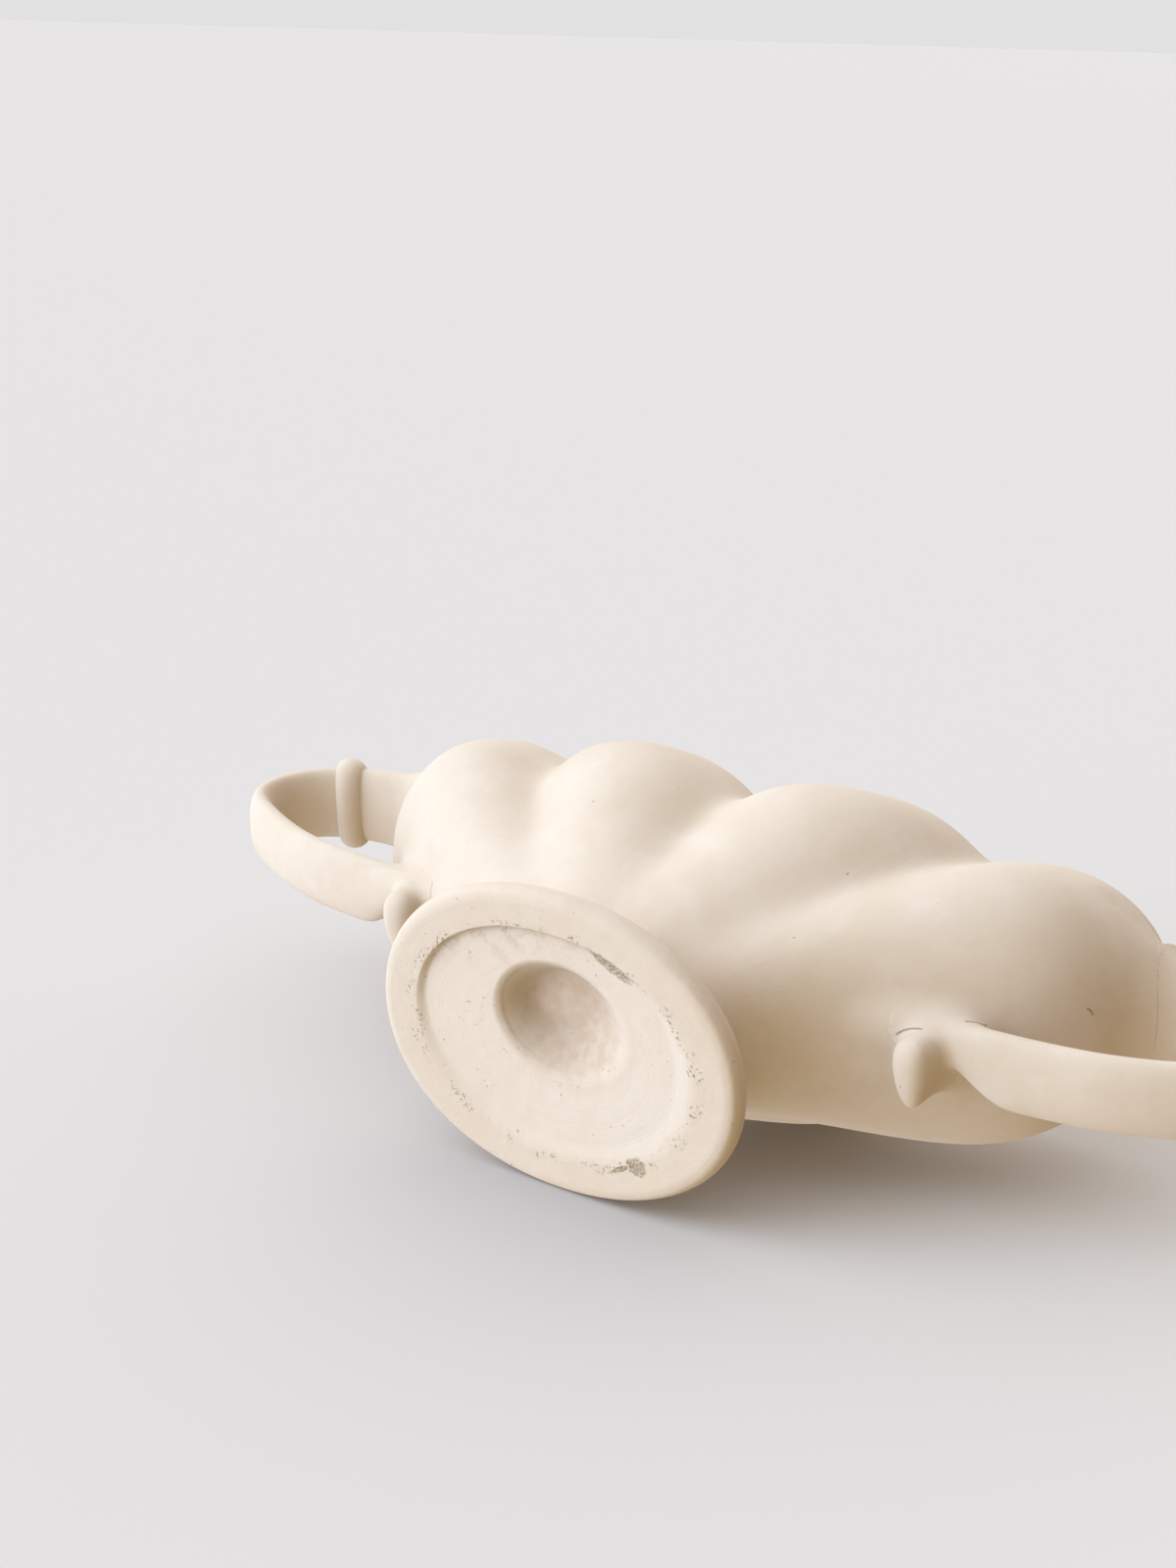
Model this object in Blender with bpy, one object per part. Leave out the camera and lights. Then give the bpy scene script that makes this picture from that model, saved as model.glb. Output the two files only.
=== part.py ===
"""Wide six-lobed mantle vase in unglazed earthenware: oval foot, boat-shaped body, two strap handles.

Upright on its foot, +Z up, the origin under the middle of the foot. X runs from handle to handle.
All sizes below are millimetres; to_mesh turns them into metres.
"""

import bmesh
import bpy
import numpy as np

MM = 0.001
GAP = 0.3  # clearance between two pieces that touch
SLIP = 1.0  # thickness of the luting slip in a joint
SLIP_INSET = 0.4  # how far the slip stays inside the strap's edge

# Body: at each height the plan is six ovals run together, one at each end and two on each broad side.
# Height | end lobe: middle, half length, half depth | side lobe: middle x and y, half length, half depth |
# fillet between the lobes.
WALL = 6.0
LOBE_STATIONS = (
    (22.5, 27.0, 14.5, 17.0, 11.5, 7.5, 12.5, 18.5, 6.5),
    (54.0, 59.0, 26.0, 32.5, 20.5, 11.5, 26.0, 30.5, 9.5),
    (85.5, 94.0, 45.5, 46.5, 32.0, 17.5, 37.5, 40.5, 7.0),
    (117.0, 113.5, 44.5, 51.0, 40.5, 20.5, 48.5, 45.0, 5.5),
    (148.5, 121.0, 44.5, 42.0, 47.0, 15.5, 49.0, 38.5, 5.0),
)
LOBE_SQUARENESS = 2.1  # exponent of the ovals: 2 is a plain ellipse
PLAN_SLENDERNESS = 0.45  # half depth over half length, which spaces the points evenly round the plan
RAY_LENGTH, HALVINGS = 200.0, 30  # search along each ray for the edge of the plan
LEAST_LEVEL = 1e-3  # keeps the middle of an oval from dividing by zero
FLOOR_FROM = 30.0  # the inside wall starts above this height of the outside
FLOOR = 31.0  # height of the inside floor's lowest point
BODY_AROUND = 80
BODY_UP = 20

# Foot: half length, half depth and height along its section, from the top joint round to the middle below.
FOOT_SECTION = (
    (42.2, 26.8, 21.0),
    (45.0, 29.3, 17.0),
    (53.5, 36.0, 13.4),
    (66.0, 47.4, 11.2),
    (73.4, 54.4, 9.4),
    (76.0, 57.0, 6.4),
    (75.4, 56.4, 3.0),
    (73.8, 54.8, 0.8),
    (71.5, 52.4, 0.0),
    (59.5, 43.0, 0.0),
    (57.8, 41.4, 1.8),
    (48.0, 33.6, 2.6),
    (36.0, 27.0, 3.8),
    (29.0, 21.5, 8.0),
    (18.0, 13.4, 12.0),
)
FOOT_HOLLOW = 13.4  # height of the middle of the hollow below
FOOT_SQUARENESS = 2.1  # exponent of the oval: 2 is a plain ellipse
FOOT_AROUND = 56

# Handle: distance out from the axis, height, strap width, strap thickness and sideways shift along its run.
# The lower end narrows towards the front edge, where it is pressed on to the body.
HANDLE_RUN = (
    (148.0, 140.3, 41.0, 12.6, 0.0),
    (158.0, 141.0, 39.5, 12.2, 0.0),
    (172.0, 141.8, 36.5, 11.2, 0.0),
    (190.0, 141.2, 34.0, 10.6, 0.0),
    (207.0, 137.2, 32.5, 10.5, 0.0),
    (219.5, 129.4, 31.5, 10.5, 0.0),
    (227.4, 118.0, 30.5, 10.5, 0.0),
    (228.4, 106.0, 29.5, 10.5, 0.0),
    (221.5, 96.0, 29.0, 10.5, 0.0),
    (208.0, 88.0, 28.5, 10.5, 0.0),
    (192.0, 80.6, 28.0, 10.5, 0.0),
    (172.0, 73.8, 28.0, 10.5, 0.0),
    (152.0, 70.6, 28.0, 10.5, 0.0),
    (138.0, 69.4, 27.0, 11.0, -0.5),
    (127.0, 68.6, 20.0, 11.8, -4.0),
    (117.0, 68.0, 13.0, 12.5, -7.5),
    (106.0, 67.5, 11.0, 12.5, -8.5),
    (92.0, 67.0, 11.0, 12.5, -8.5),
)
# Tail: the strap's end turned down below the root, thinner towards the back.
TAIL_RUN = (
    (117.5, 77.0, 22.0, 14.0, -2.0),
    (115.5, 68.0, 23.5, 14.5, -1.0),
    (114.0, 60.0, 24.5, 15.0, 0.0),
    (113.2, 53.5, 24.0, 14.0, 0.3),
    (113.0, 50.2, 18.0, 8.5, 0.0),
)
TAIL_TAPER = 0.5  # share of the thickness lost at the back edge
STRAP_SQUARENESS = 2.6
STRAP_AROUND = 16
STEPS = 3  # rings between two stations of a run
UPPER_ROOT, LOWER_ROOT = slice(0, 4), slice(-4, None)

# Collar: a half-round bead about the upper strand.
COLLAR_AT = 4.0  # station of HANDLE_RUN under the middle of the bead
COLLAR_WIDTH = 12.5
COLLAR_RISE = 4.8
COLLAR_SUNK = 0.6  # how far the edges of the bead lie below the strap's face

CLAY = (0.80, 0.72, 0.60, 1.0)
SLIP_CLAY = (0.72, 0.63, 0.51, 1.0)


for old in list(bpy.data.objects):
    bpy.data.objects.remove(old)


def collection(name, hidden=False):
    made = bpy.data.collections.new(name)
    made.hide_render = hidden
    bpy.context.scene.collection.children.link(made)
    return made


VASE = collection("lobed_mantle_vase")
CUTTERS = collection("cutters", hidden=True)


def clay(name, colour, roughness):
    material = bpy.data.materials.new(name)
    material.use_nodes = True
    shader = material.node_tree.nodes["Principled BSDF"]
    shader.inputs["Base Color"].default_value = colour
    shader.inputs["Roughness"].default_value = roughness
    return material


def along(stations, at):
    """Natural cubic spline through the stations, read at fractional station numbers."""
    rows = np.asarray(stations, float)
    count = len(rows)
    system = 4 * np.eye(count) + np.eye(count, k=1) + np.eye(count, k=-1)
    system[[0, -1]] = np.eye(count)[[0, -1]]
    pull = np.zeros_like(rows)
    pull[1:-1] = 6 * (rows[2:] - 2 * rows[1:-1] + rows[:-2])
    bend = np.linalg.solve(system, pull)
    at = np.asarray(at, float)
    i = np.clip(at.astype(int), 0, count - 2)
    t = (at - i)[:, None]
    s = 1 - t
    return s * rows[i] + t * rows[i + 1] + (s**3 - s) / 6 * bend[i] + (t**3 - t) / 6 * bend[i + 1]


def oval(angle, squareness):
    """Polar radius of a superellipse in a unit box."""
    return (np.abs(np.cos(angle)) ** squareness + np.abs(np.sin(angle)) ** squareness) ** (-1 / squareness)


def oval_distance(x, y, middle, half):
    """Distance from an oval's edge, negative inside: its level less 1, over the length of the gradient."""
    u, v = np.abs(x - middle[0]) / half[0], np.abs(y - middle[1]) / half[1]
    level = np.maximum((u**LOBE_SQUARENESS + v**LOBE_SQUARENESS) ** (1 / LOBE_SQUARENESS), LEAST_LEVEL)
    power = LOBE_SQUARENESS - 1
    slope = np.hypot((u / level) ** power / half[0], (v / level) ** power / half[1])
    return (level - 1) / np.maximum(slope, LEAST_LEVEL)


def plan_distance(x, y, end_at, end_x, end_y, side_x, side_y, half_x, half_y, fillet):
    """Soft union of the six ovals of the plan: -fillet * log(sum of exp(-distance / fillet))."""
    total = 0
    for flip_x in (-1, 1):
        total = total + np.exp(-oval_distance(x, y, (flip_x * end_at, 0), (end_x, end_y)) / fillet)
        for flip_y in (-1, 1):
            middle = (flip_x * side_x, flip_y * side_y)
            total = total + np.exp(-oval_distance(x, y, middle, (half_x, half_y)) / fillet)
    return -fillet * np.log(total)


def body_skin(offset=0.0):
    """Rings of the body's outside from the foot joint to below the lip, moved out along the normals.

    Each point lies where a ray from the axis leaves the plan, found by halving."""
    turn = np.linspace(0, 2 * np.pi, BODY_AROUND, endpoint=False)
    ray_x, ray_y = np.cos(turn), PLAN_SLENDERNESS * np.sin(turn)
    z, *lobes = along(LOBE_STATIONS, np.linspace(0, len(LOBE_STATIONS) - 1, BODY_UP)).T[:, :, None]
    near, far = 0 * z * turn, RAY_LENGTH + 0 * z * turn
    for _ in range(HALVINGS):
        middle = (near + far) / 2
        is_inside = plan_distance(middle * ray_x, middle * ray_y, *lobes) < 0
        near, far = np.where(is_inside, middle, near), np.where(is_inside, far, middle)
    skin = np.stack([near * ray_x, near * ray_y, z + 0 * near], -1)
    round_it = np.roll(skin, -1, 1) - np.roll(skin, 1, 1)
    normal = np.cross(round_it, np.gradient(skin, axis=0))
    return skin + offset * normal / np.linalg.norm(normal, axis=2, keepdims=True)


def strap_rings(run, side, grow=0.0, taper=0.0, at=None):
    """Rings of a strap of changing width and thickness along a run, square to its heading."""
    if at is None:
        at = np.linspace(0, len(run) - 1, (len(run) - 1) * STEPS + 1)
    x, z, width, thickness, shift = along(run, at).T[:, :, None]
    before, after = along(run, at - 0.02), along(run, at + 0.02)
    heading = (after - before)[:, :2] / np.linalg.norm((after - before)[:, :2], axis=1, keepdims=True)
    angle = (np.arange(STRAP_AROUND) + 0.5) * 2 * np.pi / STRAP_AROUND
    radius = oval(angle, STRAP_SQUARENESS)
    thinned = thickness / 2 * (1 - taper * (1 + np.cos(angle)) / 2)
    lift = (thinned + np.reshape(grow, (-1, 1))) * radius * np.sin(angle)
    across = shift + (width / 2 + np.reshape(grow, (-1, 1))) * radius * np.cos(angle)
    return np.stack([side * (x - heading[:, 1:] * lift), across, z + heading[:, :1] * lift], -1)


def to_mesh(name, rings, material=None, keep=CUTTERS, ends=(None, None)):
    """A closed solid skinned over rings of equal length, fanned to a point at each end."""
    rings = [np.asarray(ring) for ring in rings]
    count = len(rings[0])
    work = bmesh.new()
    rows = [[work.verts.new(point * MM) for point in ring] for ring in rings]
    for low, high in zip(rows, rows[1:]):
        for i in range(count):
            j = (i + 1) % count
            work.faces.new((low[i], low[j], high[j], high[i]))
    for row, ring, end in ((rows[0], rings[0], ends[0]), (rows[-1], rings[-1], ends[1])):
        tip = work.verts.new((ring.mean(0) if end is None else np.array(end)) * MM)
        for i in range(count):
            work.faces.new((row[i], row[(i + 1) % count], tip))
    bmesh.ops.recalc_face_normals(work, faces=work.faces)
    mesh = bpy.data.meshes.new(name)
    work.to_mesh(mesh)
    work.free()
    made = bpy.data.objects.new(name, mesh)
    keep.objects.link(made)
    if material is None:
        made.hide_render = True
        made.display_type = "WIRE"
    else:
        mesh.materials.append(material)
    return made


def boolean(target, operation, tool):
    modifier = target.modifiers.new(f"{operation.lower()}_{tool.name}", "BOOLEAN")
    modifier.operation = operation
    modifier.solver = "EXACT"
    modifier.object = tool


# Body: one shell, outside up to the lip, over it, and down the inside to the floor.
outside = body_skin()
inside = body_skin(-WALL)
middle, half = (outside[-1] + inside[-1]) / 2, (outside[-1] - inside[-1]) / 2
rise = np.array([0.0, 0.0, WALL / 2])
lip = [middle + half * np.cos(turn) + rise * np.sin(turn) for turn in np.linspace(0, np.pi, 6)[1:-1]]
down = [ring for ring, outer in zip(inside[::-1], outside[::-1]) if outer[0, 2] > FLOOR_FROM]
floor_middle = np.array([0.0, 0.0, FLOOR])
floor = [floor_middle + (down[-1] - floor_middle) * (size, size, size**2) for size in (0.8, 0.45)]
to_mesh(
    "body",
    [*outside, *lip, *down, *floor],
    clay("earthenware_body", CLAY, 0.85),
    VASE,
    ends=(None, floor_middle),
)

# Foot: an oval pedestal with a flat standing ring, a stepped recess and a domed hollow under it.
foot_angle = np.linspace(0, 2 * np.pi, FOOT_AROUND, endpoint=False)


def oval_ring(half_x, half_y, z):
    radius = oval(foot_angle, FOOT_SQUARENESS)
    x, y = half_x * radius * np.cos(foot_angle), half_y * radius * np.sin(foot_angle)
    return np.stack([x, y, z + 0 * radius], -1)


to_mesh(
    "foot",
    [oval_ring(*station) for station in FOOT_SECTION],
    clay("earthenware_foot", CLAY, 0.88),
    VASE,
    ends=(None, (0, 0, FOOT_HOLLOW)),
)
joint_x, joint_y, joint_z = FOOT_SECTION[0]
body_joint = LOBE_STATIONS[0][0]
to_mesh(
    "foot_slip",
    [
        oval_ring(joint_x - SLIP, joint_y - SLIP, joint_z + GAP),
        oval_ring(joint_x - SLIP_INSET, joint_y - SLIP_INSET, (joint_z + body_joint) / 2),
        oval_ring(joint_x - SLIP, joint_y - SLIP, body_joint - GAP),
    ],
    clay("luting_slip_foot", SLIP_CLAY, 0.9),
    VASE,
)

# Handles: strap, tail, collar and two slip joints on each side, trimmed to the body's skin.
near_skin = to_mesh("skin_plus_gap", body_skin(GAP))
slip_skin = to_mesh("skin_plus_slip", body_skin(GAP + SLIP))
root_skin = to_mesh("skin_plus_joint", body_skin(2 * GAP + SLIP))

for side, hand in ((-1, "left"), (1, "right")):
    handle_clay = clay(f"earthenware_{hand}_handle", CLAY, 0.85)
    strap = to_mesh(f"{hand}_handle", strap_rings(HANDLE_RUN, side), handle_clay, VASE)
    tail = to_mesh(f"{hand}_tail", strap_rings(TAIL_RUN, side, taper=TAIL_TAPER))
    slip_rings = strap_rings(TAIL_RUN, side, grow=-SLIP_INSET, taper=TAIL_TAPER)
    tail_slip = to_mesh(f"{hand}_tail_slip", slip_rings)
    boolean(strap, "UNION", tail)
    boolean(strap, "DIFFERENCE", root_skin)

    for place, part_of_run in (("upper", UPPER_ROOT), ("lower", LOWER_ROOT)):
        slip = to_mesh(
            f"{hand}_{place}_slip",
            strap_rings(HANDLE_RUN[part_of_run], side, grow=-SLIP_INSET),
            clay(f"luting_slip_{hand}_{place}", SLIP_CLAY, 0.9),
            VASE,
        )
        if place == "lower":
            boolean(slip, "UNION", tail_slip)
        boolean(slip, "INTERSECT", slip_skin)
        boolean(slip, "DIFFERENCE", near_skin)

    ends = along(HANDLE_RUN, [COLLAR_AT - 0.5, COLLAR_AT + 0.5])[:, :2]
    station_length = np.linalg.norm(ends[1] - ends[0])
    turn = np.linspace(-0.5, 0.5, 9) * np.pi
    bead = to_mesh(
        f"{hand}_collar",
        strap_rings(
            HANDLE_RUN,
            side,
            grow=COLLAR_RISE * np.cos(turn) - COLLAR_SUNK,
            at=COLLAR_AT + COLLAR_WIDTH / station_length * np.sin(turn) / 2,
        ),
        clay(f"earthenware_{hand}_collar", CLAY, 0.85),
        VASE,
    )
    boolean(bead, "DIFFERENCE", to_mesh(f"{hand}_strap_plus_gap", strap_rings(HANDLE_RUN, side, grow=GAP)))
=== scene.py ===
"""Wide six-lobed mantle vase in unglazed cream earthenware, lying on its back in soft studio light.

Lengths are millimetres until ring_mesh turns them into metres. The frame is the part's own: +Z out of the
mouth, X from handle to handle, the origin under the middle of the foot.
"""

import bpy
import numpy as np
from mathutils import Matrix, Vector


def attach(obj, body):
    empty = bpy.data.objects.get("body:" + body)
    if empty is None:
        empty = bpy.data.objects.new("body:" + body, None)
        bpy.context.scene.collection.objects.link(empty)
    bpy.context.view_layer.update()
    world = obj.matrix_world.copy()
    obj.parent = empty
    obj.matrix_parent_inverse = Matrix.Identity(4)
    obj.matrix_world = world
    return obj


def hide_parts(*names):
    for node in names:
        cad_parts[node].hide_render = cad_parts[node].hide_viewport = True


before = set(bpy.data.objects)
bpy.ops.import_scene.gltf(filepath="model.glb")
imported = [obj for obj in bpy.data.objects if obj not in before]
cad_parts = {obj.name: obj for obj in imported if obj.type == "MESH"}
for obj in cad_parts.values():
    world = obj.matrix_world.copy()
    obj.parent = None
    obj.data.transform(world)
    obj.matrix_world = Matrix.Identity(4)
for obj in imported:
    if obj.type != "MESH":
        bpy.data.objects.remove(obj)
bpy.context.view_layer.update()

# Body. A bowl cast in a plaster mould as one shell: six ovals run together round the plan, so that the
# grooves start as shallow hollows at the waist and fan out to deep valleys at the lip. Cream earthenware,
# fired once without glaze.
MM = 0.001
WALL = 6.0
LOBE_STATIONS = (  # height | end lobe: middle, half sizes | side lobe: middle, half sizes | fillet
    (22.5, 27.0, 14.5, 17.0, 11.5, 7.5, 12.5, 18.5, 6.5),
    (54.0, 59.0, 26.0, 32.5, 20.5, 11.5, 26.0, 30.5, 9.5),
    (85.5, 94.0, 45.5, 46.5, 32.0, 17.5, 37.5, 40.5, 7.0),
    (117.0, 113.5, 44.5, 51.0, 40.5, 20.5, 48.5, 45.0, 5.5),
    (148.5, 121.0, 44.5, 42.0, 47.0, 15.5, 49.0, 38.5, 5.0),
)
LOBE_SQUARENESS, PLAN_SLENDERNESS = 2.1, 0.45
LEVELS, RAY_LENGTH, HALVINGS, LEAST = 1600, 200.0, 30, 1e-3
BODY_AROUND, BODY_UP, LIP_STEPS, FLOOR_STEPS = 440, 120, 12, 14
FLOOR_FROM, FLOOR = 30.0, 31.0


def spline(stations, at):
    """Natural cubic spline through the stations, read at fractional station numbers."""
    rows = np.asarray(stations, float)
    count = len(rows)
    system = 4 * np.eye(count) + np.eye(count, k=1) + np.eye(count, k=-1)
    system[[0, -1]] = np.eye(count)[[0, -1]]
    pull = np.zeros_like(rows)
    pull[1:-1] = 6 * (rows[2:] - 2 * rows[1:-1] + rows[:-2])
    bend = np.linalg.solve(system, pull)
    at = np.asarray(at, float)
    i = np.clip(at.astype(int), 0, count - 2)
    t = (at - i)[:, None]
    s = 1 - t
    return s * rows[i] + t * rows[i + 1] + (s**3 - s) / 6 * bend[i] + (t**3 - t) / 6 * bend[i + 1]


def oval_distance(x, y, middle, half):
    """Distance from an oval's edge, negative inside: its level less 1, over the length of the gradient."""
    u, v = np.abs(x - middle[0]) / half[0], np.abs(y - middle[1]) / half[1]
    level = np.maximum((u**LOBE_SQUARENESS + v**LOBE_SQUARENESS) ** (1 / LOBE_SQUARENESS), LEAST)
    power = LOBE_SQUARENESS - 1
    slope = np.hypot((u / level) ** power / half[0], (v / level) ** power / half[1])
    return (level - 1) / np.maximum(slope, LEAST)


LOBE_LEVELS = spline(LOBE_STATIONS, np.linspace(0, len(LOBE_STATIONS) - 1, LEVELS)).T


def plan_distance(x, y, z):
    """Soft union of the six ovals of the plan at a height: -fillet * log(sum of exp(-distance / fillet))."""
    end_at, end_x, end_y, side_x, side_y, half_x, half_y, fillet = (
        np.interp(z, LOBE_LEVELS[0], column) for column in LOBE_LEVELS[1:]
    )
    total = 0
    for flip_x in (-1, 1):
        total = total + np.exp(-oval_distance(x, y, (flip_x * end_at, 0), (end_x, end_y)) / fillet)
        for flip_y in (-1, 1):
            middle = (flip_x * side_x, flip_y * side_y)
            total = total + np.exp(-oval_distance(x, y, middle, (half_x, half_y)) / fillet)
    return -fillet * np.log(total)


def body_skin(ray_x, ray_y, z):
    """Point where a level ray from the axis leaves the plan, found by halving the ray."""
    near, far = 0 * z * ray_x, RAY_LENGTH / np.hypot(ray_x, ray_y) + 0 * z
    for _ in range(HALVINGS):
        middle = (near + far) / 2
        is_inside = plan_distance(middle * ray_x, middle * ray_y, z) < 0
        near, far = np.where(is_inside, middle, near), np.where(is_inside, far, middle)
    return np.stack([near * ray_x, near * ray_y, z + 0 * near], -1)


def grid_normals(grid):
    """Unit normals of a grid of rings that closes round its second axis."""
    normal = np.cross(np.roll(grid, -1, 1) - np.roll(grid, 1, 1), np.gradient(grid, axis=0))
    return normal / np.linalg.norm(normal, axis=2, keepdims=True)


def ring_mesh(name, rings, first=None, last=None):
    """A skin over rings of points: quads between neighbours and a fan of triangles to a point at each end."""
    rings = np.asarray(rings)
    rows, count = rings.shape[:2]
    index = np.arange(rows * count).reshape(rows, count)
    low, high = index[:-1], index[1:]
    quads = np.stack([low, np.roll(low, -1, 1), np.roll(high, -1, 1), high], -1).reshape(-1, 4)
    faces, points = quads.tolist(), [rings.reshape(-1, 3)]
    for tip, ring, turn in ((first, index[0], -1), (last, index[-1], 1)):
        if tip is not None:
            hub = np.full(count, sum(map(len, points)))
            points.append(np.reshape(tip, (1, 3)))
            faces += np.stack([ring, np.roll(ring, -1), hub], -1)[:, ::turn].tolist()
    points = np.vstack(points)
    corner, beside, above = rings[:-1], np.roll(rings, -1, 1)[:-1], rings[1:]
    if np.einsum("ijk,ijk->", corner - points.mean(0), np.cross(beside - corner, above - corner)) < 0:
        faces = [face[::-1] for face in faces]
    mesh = bpy.data.meshes.new(name)
    mesh.from_pydata((points * MM).tolist(), [], faces)
    mesh.shade_smooth()
    made = bpy.data.objects.new(name, mesh)
    bpy.context.scene.collection.objects.link(made)
    return made


around = np.linspace(0, 2 * np.pi, BODY_AROUND, endpoint=False)
heights = np.linspace(LOBE_STATIONS[0][0], LOBE_STATIONS[-1][0], BODY_UP)[:, None]
outside = body_skin(np.cos(around), PLAN_SLENDERNESS * np.sin(around), heights)
inside = outside - WALL * grid_normals(outside)
middle, half = (outside[-1] + inside[-1]) / 2, (outside[-1] - inside[-1]) / 2
rise = np.array([0.0, 0.0, WALL / 2])
turn = np.linspace(0, np.pi, LIP_STEPS + 1)[1:-1, None, None]
lip = middle + half * np.cos(turn) + rise * np.sin(turn)
down = inside[::-1][outside[::-1, 0, 2] > FLOOR_FROM][::2]
floor_middle = np.array([0.0, 0.0, FLOOR])
share = np.linspace(1, 0, FLOOR_STEPS)[1:-1, None, None]
floor = floor_middle + (down[-1] - floor_middle) * np.concatenate([share, share, share**2], 2)
vessel = ring_mesh("body", np.concatenate([outside, lip, down, floor]), last=floor_middle)


class Wire:
    """An output of a shader node. Its operators add Math nodes, so that a pattern reads as an expression."""

    def __init__(self, socket):
        self.socket = socket

    def node(self, kind, settings, sockets, out=0):
        """Adds any node to the same tree: its type, its settings, then values or wires for its sockets."""
        made = self.socket.id_data.nodes.new(kind)
        for key, value in settings.items():
            setattr(made, key, value)
        for key, value in sockets.items():
            if isinstance(value, Wire):
                self.socket.id_data.links.new(value.socket, made.inputs[key])
            else:
                made.inputs[key].default_value = value
        return Wire(made.outputs[out])

    def math(self, operation, *values):
        """A Math node of these values."""
        return self.node("ShaderNodeMath", {"operation": operation}, dict(enumerate(values)))

    def __add__(self, other):
        return self.math("ADD", self, other)

    def __sub__(self, other):
        return self.math("SUBTRACT", self, other)

    def __rsub__(self, other):
        return self.math("SUBTRACT", other, self)

    def __mul__(self, other):
        return self.math("MULTIPLY", self, other)

    def __pow__(self, other):
        return self.math("POWER", self, other)

    def __abs__(self):
        return self.math("ABSOLUTE", self)

    __radd__, __rmul__ = __add__, __mul__

    def step(self, low, high):
        """0 below low, 1 above high, smooth between them."""
        ends = {"Value": self, "From Min": low, "From Max": high}
        return self.node("ShaderNodeMapRange", {"interpolation_type": "SMOOTHSTEP"}, ends, "Result")

    def scaled(self, x, y, z):
        """This place with each axis scaled."""
        return self.node("ShaderNodeVectorMath", {"operation": "MULTIPLY"}, {0: self, 1: (x, y, z)})

    def dot(self, direction):
        """This place measured along a direction."""
        sockets = {0: self, 1: direction}
        return self.node("ShaderNodeVectorMath", {"operation": "DOT_PRODUCT"}, sockets, "Value")

    def noise(self, scale, detail=2.0, roughness=0.5):
        """Cloudy noise of this place, from 0 to 1."""
        sockets = {"Vector": self, "Scale": scale, "Detail": detail, "Roughness": roughness}
        return self.node("ShaderNodeTexNoise", {}, sockets, "Fac")

    def cells(self, scale):
        """Distance from this place to the nearest of scattered points."""
        return self.node("ShaderNodeTexVoronoi", {}, {"Vector": self, "Scale": scale}, "Distance")

    def tint(self, share, colour):
        """This colour moved towards another by a share that may vary."""
        return self.node("ShaderNodeMix", {"data_type": "RGBA"}, {0: share, 6: self, 7: (*colour, 1.0)}, 2)


# PIT_AND_SHADE: dark of pin holes, cracks and marks on the sole, also used for painted shade along the foot's
# recess step.
CREAM, WARM, PALE, PIT_AND_SHADE = (0.80, 0.697, 0.572), (0.735, 0.612, 0.47), (0.85, 0.768, 0.66), (0.42, 0.30, 0.18)
CLAY_TONES = (  # features per mm, detail, roughness, levels between which it comes in, share, colour
    (0.022, 3.0, 0.5, (0.4, 0.68), 0.45, WARM),
    (0.05, 4.0, 0.65, (0.46, 0.72), 0.38, PALE),
    (0.13, 4.0, 0.7, (0.48, 0.72), 0.26, WARM),
)
GRAIN, SWELL, STROKE_PLACES, PIN_HOLES, PIN_HOLE_PLACES = 0.9, 0.035, 0.03, 0.15, 0.06  # per mm
STROKES_LEVEL, STROKES_AROUND, STROKE_RISE = (0.012, 0.012, 0.36), 45.0, 0.02
STROKE_SHARE, PIN_HOLE_SHARE = 0.22, 0.55
STROKE_RELIEF, GRAIN_RELIEF, PIN_HOLE_DEPTH, SWELL_RELIEF = 0.09, 0.06, 0.25, 0.45  # mm
CLAY_ROUGHNESS, CLAY_SPECULAR = 0.82, 0.25


def raw_clay(name, up_the_lobes=False):
    """Cream clay by place: cloudy warm and pale patches, sponge strokes, a fine grain and sparse pin holes.

    The strokes lie level, or run up the lobes from foot to lip: noise of the bearing from the axis, drawn out
    in height. Returns the material with the wires of its place, colour and height, in millimetres."""
    material = bpy.data.materials.new(name)
    material.use_nodes = True
    place = Wire(material.node_tree.nodes.new("ShaderNodeTexCoord").outputs["Object"]).scaled(*[1 / MM] * 3)
    colour = place.node("ShaderNodeRGB", {}, {})
    colour.socket.default_value = (*CREAM, 1.0)
    rubbed = place.scaled(*STROKES_LEVEL)
    if up_the_lobes:
        bearing = place.scaled(1.0, 1 / PLAN_SLENDERNESS, 0.0)
        bearing = place.node("ShaderNodeVectorMath", {"operation": "NORMALIZE"}, {0: bearing})
        spread = {0: bearing, 1: (STROKES_AROUND,) * 3, 2: place.scaled(0.0, 0.0, STROKE_RISE)}
        rubbed = place.node("ShaderNodeVectorMath", {"operation": "MULTIPLY_ADD"}, spread)
    strokes = rubbed.noise(1.0, 3.0, 0.6) * place.noise(STROKE_PLACES, 2.0).step(0.35, 0.65)
    holes = (1 - place.cells(PIN_HOLES).step(0.035, 0.08)) * place.noise(PIN_HOLE_PLACES, 1.0).step(0.6, 0.68)
    for scale, detail, roughness, levels, share, tone in CLAY_TONES:
        colour = colour.tint(place.noise(scale, detail, roughness).step(*levels) * share, tone)
    colour = colour.tint(strokes.step(0.4, 0.72) * STROKE_SHARE, WARM).tint(holes * PIN_HOLE_SHARE, PIT_AND_SHADE)
    height = STROKE_RELIEF * strokes + GRAIN_RELIEF * place.noise(GRAIN, 2.0, 0.6)
    height = height - PIN_HOLE_DEPTH * holes + SWELL_RELIEF * place.noise(SWELL, 3.0)
    return material, place, colour, height


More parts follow.
